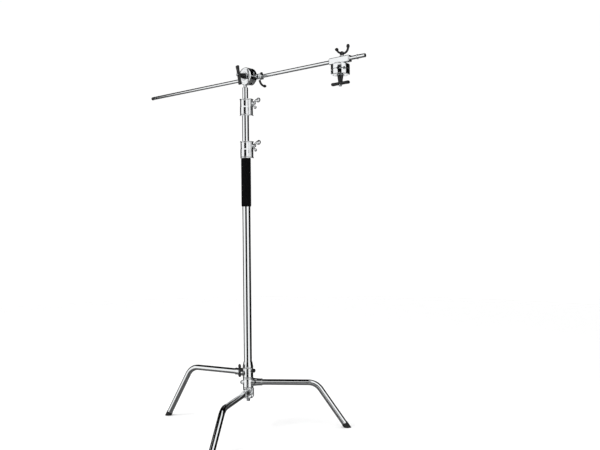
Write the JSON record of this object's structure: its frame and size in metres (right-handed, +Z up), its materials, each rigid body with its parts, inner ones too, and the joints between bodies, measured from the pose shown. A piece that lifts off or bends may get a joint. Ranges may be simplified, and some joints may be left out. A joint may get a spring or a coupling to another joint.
{
  "type": "lighting stand",
  "caption": "Chromed century stand: nested folding legs, telescoping column with clamp collars and foam grip, boom arm held by round V-jaw grip heads with T-handles",
  "frame": {"origin": "on the floor plane, on the column's axis", "axes": "+Z up along the column, +X along the boom towards its front stud, +Y towards the side of the column on which the boom lies"},
  "size_m": [1.33, 0.6757, 1.5775],
  "materials": {
    "polished_chrome": "polished chrome-plated steel and castings",
    "plain_steel": "bright zinc-plated steel",
    "blackened_screw": "blackened steel socket screws",
    "brass": "turned brass",
    "nylon": "moulded black nylon",
    "black_handle": "black satin coating on die-cast metal",
    "black_rubber": "moulded black rubber",
    "foam_grip": "closed-cell foam rubber sleeve"
  },
  "bodies": {
    "base": {"base_tube": "polished_chrome", "base_plug": "plain_steel", "base_washer": "plain_steel", "base_bolt": "plain_steel", "base_bell": "polished_chrome", "hub_washer_lower": "nylon", "hub_washer_upper": "nylon", "foam_grip": "foam_grip", "front_casting": "polished_chrome", "front_leg_tube": "polished_chrome", "front_leg_screw": "blackened_screw", "front_foot_cap": "black_rubber", "collar_1": "polished_chrome", "collar_1_pad": "brass", "collar_1_set_screw": "blackened_screw"},
    "middle_leg": {"middle_casting": "polished_chrome", "middle_leg_tube": "polished_chrome", "middle_leg_screw": "blackened_screw", "middle_foot_cap": "black_rubber", "middle_stop_screw": "blackened_screw"},
    "top_leg": {"top_casting": "polished_chrome", "top_leg_tube": "polished_chrome", "top_leg_screw": "blackened_screw", "top_foot_cap": "black_rubber"},
    "leg_lock": {"leg_lock_screw": "plain_steel", "leg_lock_handle": "black_handle"},
    "leg_plunger": {"leg_plunger_pin": "plain_steel", "leg_plunger_knob": "black_handle"},
    "collar_1_lock": {"collar_1_wing_screw": "plain_steel", "collar_1_wing": "polished_chrome"},
    "middle_tube": {"middle_tube": "polished_chrome", "middle_tube_bush": "nylon", "collar_2": "polished_chrome", "collar_2_pad": "brass", "collar_2_set_screw": "blackened_screw"},
    "collar_2_lock": {"collar_2_wing_screw": "plain_steel", "collar_2_wing": "polished_chrome"},
    "top_tube": {"top_tube": "polished_chrome", "top_tube_bush": "nylon", "top_stud": "polished_chrome"},
    "head_1_jaw": {"head_1_jaw_inner": "polished_chrome"},
    "head_1_outer": {"head_1_jaw_outer": "polished_chrome", "head_1_washer": "plain_steel"},
    "head_1_tee": {"head_1_tee_handle": "black_handle"},
    "head_1_receiver": {"head_1_receiver": "polished_chrome", "head_1_bolt": "plain_steel"},
    "head_1_lock": {"head_1_wing_screw": "plain_steel", "head_1_wing": "black_handle"},
    "boom": {"boom_tube": "polished_chrome", "boom_rear_cap": "black_rubber", "boom_front_stud": "polished_chrome"},
    "head_2_receiver": {"head_2_receiver": "polished_chrome", "head_2_bolt": "plain_steel"},
    "head_2_jaw": {"head_2_jaw_inner": "polished_chrome"},
    "head_2_outer": {"head_2_jaw_outer": "polished_chrome", "head_2_washer": "plain_steel"},
    "head_2_tee": {"head_2_tee_handle": "black_handle"},
    "head_2_lock": {"head_2_wing_screw": "plain_steel", "head_2_wing": "black_handle"}
  },
  "joints": [
    {"name": "middle_leg_fold", "type": "hinge", "parent": "base", "child": "middle_leg", "pos_m": [0, 0, 0.192], "axis": [0, 0, 1], "range_deg": [-93, 19]},
    {"name": "top_leg_fold", "type": "hinge", "parent": "base", "child": "top_leg", "pos_m": [0, 0, 0.234], "axis": [0, 0, 1], "range_deg": [-19, 93]},
    {"name": "leg_lock_turn", "type": "hinge", "parent": "top_leg", "child": "leg_lock", "pos_m": [-0.01061, -0.0396, 0.246], "axis": [-0.2588, -0.9659, 0], "range_deg": [0, 720]},
    {"name": "leg_plunger_pull", "type": "slide", "parent": "top_leg", "child": "leg_plunger", "axis": [1, 0, 0], "range_m": [0, 0.005], "stiffness_N_per_m": 600, "springref_m": -0.003},
    {"name": "collar_1_wing_turn", "type": "hinge", "parent": "base", "child": "collar_1_lock", "pos_m": [0.04201, 0.01613, 1.214], "axis": [0.9336, 0.3584, 0], "range_deg": [0, 720]},
    {"name": "middle_tube_slide", "type": "slide", "parent": "base", "child": "middle_tube", "axis": [0, 0, 1], "range_m": [-0.1, 0.75]},
    {"name": "collar_2_wing_turn", "type": "hinge", "parent": "middle_tube", "child": "collar_2_lock", "pos_m": [0.04201, 0.01613, 1.397], "axis": [0.9336, 0.3584, 0], "range_deg": [0, 720]},
    {"name": "top_tube_slide", "type": "slide", "parent": "middle_tube", "child": "top_tube", "axis": [0, 0, 1], "range_m": [0, 0.8]},
    {"name": "head_1_pan", "type": "hinge", "parent": "top_tube", "child": "head_1_jaw", "pos_m": [0, 0, 1.512], "axis": [0, 0, 1], "continuous": true},
    {"name": "head_1_jaw_slide", "type": "slide", "parent": "head_1_jaw", "child": "head_1_outer", "axis": [0, -1, 0], "range_m": [0, 0.006]},
    {"name": "head_1_tee_turn", "type": "hinge", "parent": "head_1_outer", "child": "head_1_tee", "pos_m": [0.017, -0.05, 1.512], "axis": [0, -1, 0], "range_deg": [0, 1085]},
    {"name": "head_1_tilt", "type": "hinge", "parent": "head_1_jaw", "child": "head_1_receiver", "pos_m": [0.017, 0.0365, 1.512], "axis": [0, -1, 0], "range_deg": [-45, 35]},
    {"name": "head_1_wing_turn", "type": "hinge", "parent": "head_1_receiver", "child": "head_1_lock", "pos_m": [0.026, 0.075, 1.512], "axis": [0, 1, 0], "range_deg": [0, 720]},
    {"name": "boom_slide", "type": "slide", "parent": "head_1_receiver", "child": "boom", "axis": [1, 0, 0], "range_m": [-0.2, 0.55]},
    {"name": "head_2_roll", "type": "hinge", "parent": "boom", "child": "head_2_receiver", "pos_m": [0.497, 0.0365, 1.512], "axis": [1, 0, 0], "continuous": true},
    {"name": "head_2_turn", "type": "hinge", "parent": "head_2_receiver", "child": "head_2_jaw", "pos_m": [0.497, 0.0365, 1.4755], "axis": [0, 0, -1], "continuous": true},
    {"name": "head_2_jaw_slide", "type": "slide", "parent": "head_2_jaw", "child": "head_2_outer", "axis": [0, 0, -1], "range_m": [0, 0.006]},
    {"name": "head_2_tee_turn", "type": "hinge", "parent": "head_2_outer", "child": "head_2_tee", "pos_m": [0.497, 0.0365, 1.42], "axis": [0, 0, -1], "range_deg": [0, 1085]},
    {"name": "head_2_wing_turn", "type": "hinge", "parent": "head_2_receiver", "child": "head_2_lock", "pos_m": [0.506, 0.0365, 1.55], "axis": [0, 0, 1], "range_deg": [0, 720]}
  ],
  "couplings": [
    {"joint": "head_1_tee_turn", "follows": "head_1_jaw_slide", "rad_per_m": 3141.6},
    {"joint": "head_2_tee_turn", "follows": "head_2_jaw_slide", "rad_per_m": 3141.6}
  ]
}
